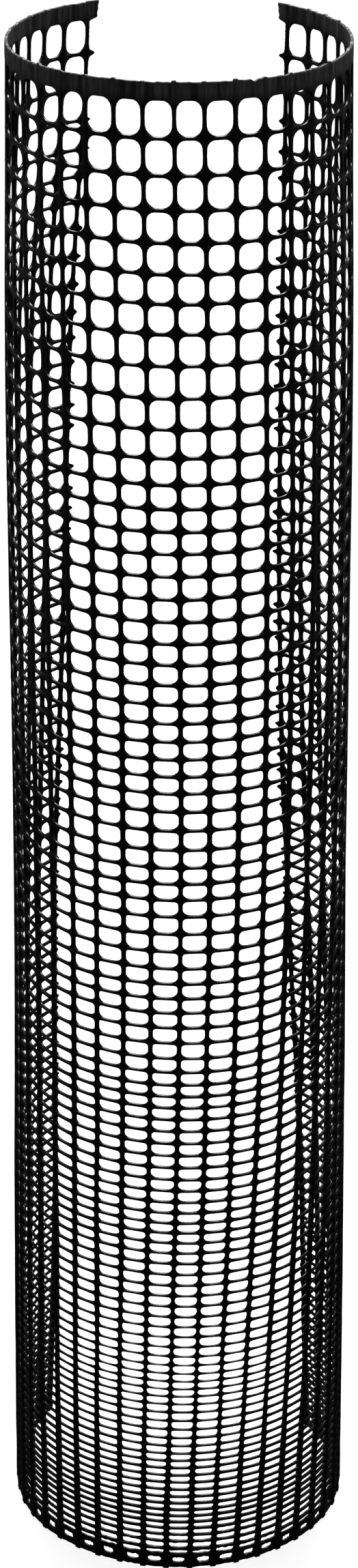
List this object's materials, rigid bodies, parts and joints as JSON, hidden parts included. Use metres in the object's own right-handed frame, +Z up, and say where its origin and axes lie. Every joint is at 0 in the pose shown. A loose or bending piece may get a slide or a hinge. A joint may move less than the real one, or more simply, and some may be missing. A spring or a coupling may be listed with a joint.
{
  "type": "tree guard tube",
  "caption": "Springy slit tube of black plastic net that is opened and closed round a young trunk; openings get finer towards the foot.",
  "frame": {"origin": "middle of the tube's footprint, on the plane its foot stands on", "axes": "+Z up along the tube; the spine strand faces -Y and the lengthwise slit faces +Y"},
  "size_m": [0.126, 0.1158, 0.55],
  "materials": {
    "net_plastic": "satin black polyethylene with fine lengthwise extrusion lines"
  },
  "bodies": {
    "spine_strand": {"spine_strand": "net_plastic"},
    "right_strand_01": {"right_strand_01": "net_plastic"},
    "left_strand_01": {"left_strand_01": "net_plastic"},
    "right_strand_02": {"right_strand_02": "net_plastic"},
    "left_strand_02": {"left_strand_02": "net_plastic"},
    "right_strand_03": {"right_strand_03": "net_plastic"},
    "left_strand_03": {"left_strand_03": "net_plastic"},
    "right_strand_04": {"right_strand_04": "net_plastic"},
    "left_strand_04": {"left_strand_04": "net_plastic"},
    "right_strand_05": {"right_strand_05": "net_plastic"},
    "left_strand_05": {"left_strand_05": "net_plastic"},
    "right_strand_06": {"right_strand_06": "net_plastic"},
    "left_strand_06": {"left_strand_06": "net_plastic"},
    "right_strand_07": {"right_strand_07": "net_plastic"},
    "left_strand_07": {"left_strand_07": "net_plastic"},
    "right_strand_08": {"right_strand_08": "net_plastic"},
    "left_strand_08": {"left_strand_08": "net_plastic"},
    "right_strand_09": {"right_strand_09": "net_plastic"},
    "left_strand_09": {"left_strand_09": "net_plastic"},
    "right_strand_10": {"right_strand_10": "net_plastic"},
    "left_strand_10": {"left_strand_10": "net_plastic"},
    "right_strand_11": {"right_strand_11": "net_plastic"},
    "left_strand_11": {"left_strand_11": "net_plastic"},
    "right_strand_12": {"right_strand_12": "net_plastic"},
    "left_strand_12": {"left_strand_12": "net_plastic"},
    "right_strand_13": {"right_strand_13": "net_plastic"},
    "left_strand_13": {"left_strand_13": "net_plastic"},
    "right_strand_14": {"right_strand_14": "net_plastic"},
    "left_strand_14": {"left_strand_14": "net_plastic"},
    "right_edge_strand": {"right_edge_strand": "net_plastic"},
    "left_edge_strand": {"left_edge_strand": "net_plastic"}
  },
  "joints": [
    {"name": "flex_r01", "type": "hinge", "parent": "spine_strand", "child": "right_strand_01", "pos_m": [0.00334, -0.05489, 0], "axis": [0, 0, -1], "range_deg": [-1.6, 8.4], "stiffness_Nm_per_rad": 1},
    {"name": "flex_r02", "type": "hinge", "parent": "right_strand_01", "child": "right_strand_02", "pos_m": [0.01277, -0.05358, 0], "axis": [0, 0, -1], "range_deg": [-1.6, 8.4], "stiffness_Nm_per_rad": 1},
    {"name": "flex_r03", "type": "hinge", "parent": "right_strand_02", "child": "right_strand_03", "pos_m": [0.02188, -0.05076, 0], "axis": [0, 0, -1], "range_deg": [-1.6, 8.4], "stiffness_Nm_per_rad": 1},
    {"name": "flex_r04", "type": "hinge", "parent": "right_strand_03", "child": "right_strand_04", "pos_m": [0.03045, -0.04652, 0], "axis": [0, 0, -1], "range_deg": [-1.6, 8.4], "stiffness_Nm_per_rad": 1},
    {"name": "flex_r05", "type": "hinge", "parent": "right_strand_04", "child": "right_strand_05", "pos_m": [0.03825, -0.04094, 0], "axis": [0, 0, -1], "range_deg": [-1.6, 8.4], "stiffness_Nm_per_rad": 1},
    {"name": "flex_r06", "type": "hinge", "parent": "right_strand_05", "child": "right_strand_06", "pos_m": [0.04509, -0.03418, 0], "axis": [0, 0, -1], "range_deg": [-1.6, 8.4], "stiffness_Nm_per_rad": 1},
    {"name": "flex_r07", "type": "hinge", "parent": "right_strand_06", "child": "right_strand_07", "pos_m": [0.0508, -0.0264, 0], "axis": [0, 0, -1], "range_deg": [-1.6, 8.4], "stiffness_Nm_per_rad": 1},
    {"name": "flex_r08", "type": "hinge", "parent": "right_strand_07", "child": "right_strand_08", "pos_m": [0.05524, -0.0178, 0], "axis": [0, 0, -1], "range_deg": [-1.6, 8.4], "stiffness_Nm_per_rad": 1},
    {"name": "flex_r09", "type": "hinge", "parent": "right_strand_08", "child": "right_strand_09", "pos_m": [0.0583, -0.00859, 0], "axis": [0, 0, -1], "range_deg": [-1.6, 8.4], "stiffness_Nm_per_rad": 1},
    {"name": "flex_r10", "type": "hinge", "parent": "right_strand_09", "child": "right_strand_10", "pos_m": [0.05989, 0.001, 0], "axis": [0, 0, -1], "range_deg": [-1.6, 8.4], "stiffness_Nm_per_rad": 1},
    {"name": "flex_r11", "type": "hinge", "parent": "right_strand_10", "child": "right_strand_11", "pos_m": [0.05999, 0.01073, 0], "axis": [0, 0, -1], "range_deg": [-1.6, 8.4], "stiffness_Nm_per_rad": 1},
    {"name": "flex_r12", "type": "hinge", "parent": "right_strand_11", "child": "right_strand_12", "pos_m": [0.05859, 0.02035, 0], "axis": [0, 0, -1], "range_deg": [-1.6, 8.4], "stiffness_Nm_per_rad": 1},
    {"name": "flex_r13", "type": "hinge", "parent": "right_strand_12", "child": "right_strand_13", "pos_m": [0.05571, 0.02962, 0], "axis": [0, 0, -1], "range_deg": [-1.6, 8.4], "stiffness_Nm_per_rad": 1},
    {"name": "flex_r14", "type": "hinge", "parent": "right_strand_13", "child": "right_strand_14", "pos_m": [0.05145, 0.03831, 0], "axis": [0, 0, -1], "range_deg": [-1.6, 8.4], "stiffness_Nm_per_rad": 1},
    {"name": "flex_r15", "type": "hinge", "parent": "right_strand_14", "child": "right_edge_strand", "pos_m": [0.04589, 0.04621, 0], "axis": [0, 0, -1], "range_deg": [-1.6, 8.4], "stiffness_Nm_per_rad": 1},
    {"name": "flex_l01", "type": "hinge", "parent": "spine_strand", "child": "left_strand_01", "pos_m": [-0.00617, -0.05466, 0], "axis": [0, 0, 1], "range_deg": [-1.6, 8.4], "stiffness_Nm_per_rad": 1},
    {"name": "flex_l02", "type": "hinge", "parent": "left_strand_01", "child": "left_strand_02", "pos_m": [-0.01553, -0.0529, 0], "axis": [0, 0, 1], "range_deg": [-1.6, 8.4], "stiffness_Nm_per_rad": 1},
    {"name": "flex_l03", "type": "hinge", "parent": "left_strand_02", "child": "left_strand_03", "pos_m": [-0.0245, -0.04966, 0], "axis": [0, 0, 1], "range_deg": [-1.6, 8.4], "stiffness_Nm_per_rad": 1},
    {"name": "flex_l04", "type": "hinge", "parent": "left_strand_03", "child": "left_strand_04", "pos_m": [-0.03286, -0.04501, 0], "axis": [0, 0, 1], "range_deg": [-1.6, 8.4], "stiffness_Nm_per_rad": 1},
    {"name": "flex_l05", "type": "hinge", "parent": "left_strand_04", "child": "left_strand_05", "pos_m": [-0.0404, -0.03907, 0], "axis": [0, 0, 1], "range_deg": [-1.6, 8.4], "stiffness_Nm_per_rad": 1},
    {"name": "flex_l06", "type": "hinge", "parent": "left_strand_05", "child": "left_strand_06", "pos_m": [-0.04692, -0.03199, 0], "axis": [0, 0, 1], "range_deg": [-1.6, 8.4], "stiffness_Nm_per_rad": 1},
    {"name": "flex_l07", "type": "hinge", "parent": "left_strand_06", "child": "left_strand_07", "pos_m": [-0.05228, -0.02395, 0], "axis": [0, 0, 1], "range_deg": [-1.6, 8.4], "stiffness_Nm_per_rad": 1},
    {"name": "flex_l08", "type": "hinge", "parent": "left_strand_07", "child": "left_strand_08", "pos_m": [-0.05632, -0.01515, 0], "axis": [0, 0, 1], "range_deg": [-1.6, 8.4], "stiffness_Nm_per_rad": 1},
    {"name": "flex_l09", "type": "hinge", "parent": "left_strand_08", "child": "left_strand_09", "pos_m": [-0.05895, -0.0058, 0], "axis": [0, 0, 1], "range_deg": [-1.6, 8.4], "stiffness_Nm_per_rad": 1},
    {"name": "flex_l10", "type": "hinge", "parent": "left_strand_09", "child": "left_strand_10", "pos_m": [-0.06011, 0.00385, 0], "axis": [0, 0, 1], "range_deg": [-1.6, 8.4], "stiffness_Nm_per_rad": 1},
    {"name": "flex_l11", "type": "hinge", "parent": "left_strand_10", "child": "left_strand_11", "pos_m": [-0.05977, 0.01357, 0], "axis": [0, 0, 1], "range_deg": [-1.6, 8.4], "stiffness_Nm_per_rad": 1},
    {"name": "flex_l12", "type": "hinge", "parent": "left_strand_11", "child": "left_strand_12", "pos_m": [-0.05793, 0.02312, 0], "axis": [0, 0, 1], "range_deg": [-1.6, 8.4], "stiffness_Nm_per_rad": 1},
    {"name": "flex_l13", "type": "hinge", "parent": "left_strand_12", "child": "left_strand_13", "pos_m": [-0.05464, 0.03224, 0], "axis": [0, 0, 1], "range_deg": [-1.6, 8.4], "stiffness_Nm_per_rad": 1},
    {"name": "flex_l14", "type": "hinge", "parent": "left_strand_13", "child": "left_strand_14", "pos_m": [-0.04998, 0.04072, 0], "axis": [0, 0, 1], "range_deg": [-1.6, 8.4], "stiffness_Nm_per_rad": 1},
    {"name": "flex_l15", "type": "hinge", "parent": "left_strand_14", "child": "left_edge_strand", "pos_m": [-0.04407, 0.04835, 0], "axis": [0, 0, 1], "range_deg": [-1.6, 8.4], "stiffness_Nm_per_rad": 1}
  ],
  "couplings": [
    {"joint": "flex_r02", "follows": "flex_r01", "ratio": 1},
    {"joint": "flex_r03", "follows": "flex_r01", "ratio": 1},
    {"joint": "flex_r04", "follows": "flex_r01", "ratio": 1},
    {"joint": "flex_r05", "follows": "flex_r01", "ratio": 1},
    {"joint": "flex_r06", "follows": "flex_r01", "ratio": 1},
    {"joint": "flex_r07", "follows": "flex_r01", "ratio": 1},
    {"joint": "flex_r08", "follows": "flex_r01", "ratio": 1},
    {"joint": "flex_r09", "follows": "flex_r01", "ratio": 1},
    {"joint": "flex_r10", "follows": "flex_r01", "ratio": 1},
    {"joint": "flex_r11", "follows": "flex_r01", "ratio": 1},
    {"joint": "flex_r12", "follows": "flex_r01", "ratio": 1},
    {"joint": "flex_r13", "follows": "flex_r01", "ratio": 1},
    {"joint": "flex_r14", "follows": "flex_r01", "ratio": 1},
    {"joint": "flex_r15", "follows": "flex_r01", "ratio": 1},
    {"joint": "flex_l01", "follows": "flex_r01", "ratio": 1},
    {"joint": "flex_l02", "follows": "flex_r01", "ratio": 1},
    {"joint": "flex_l03", "follows": "flex_r01", "ratio": 1},
    {"joint": "flex_l04", "follows": "flex_r01", "ratio": 1},
    {"joint": "flex_l05", "follows": "flex_r01", "ratio": 1},
    {"joint": "flex_l06", "follows": "flex_r01", "ratio": 1},
    {"joint": "flex_l07", "follows": "flex_r01", "ratio": 1},
    {"joint": "flex_l08", "follows": "flex_r01", "ratio": 1},
    {"joint": "flex_l09", "follows": "flex_r01", "ratio": 1},
    {"joint": "flex_l10", "follows": "flex_r01", "ratio": 1},
    {"joint": "flex_l11", "follows": "flex_r01", "ratio": 1},
    {"joint": "flex_l12", "follows": "flex_r01", "ratio": 1},
    {"joint": "flex_l13", "follows": "flex_r01", "ratio": 1},
    {"joint": "flex_l14", "follows": "flex_r01", "ratio": 1},
    {"joint": "flex_l15", "follows": "flex_r01", "ratio": 1}
  ]
}
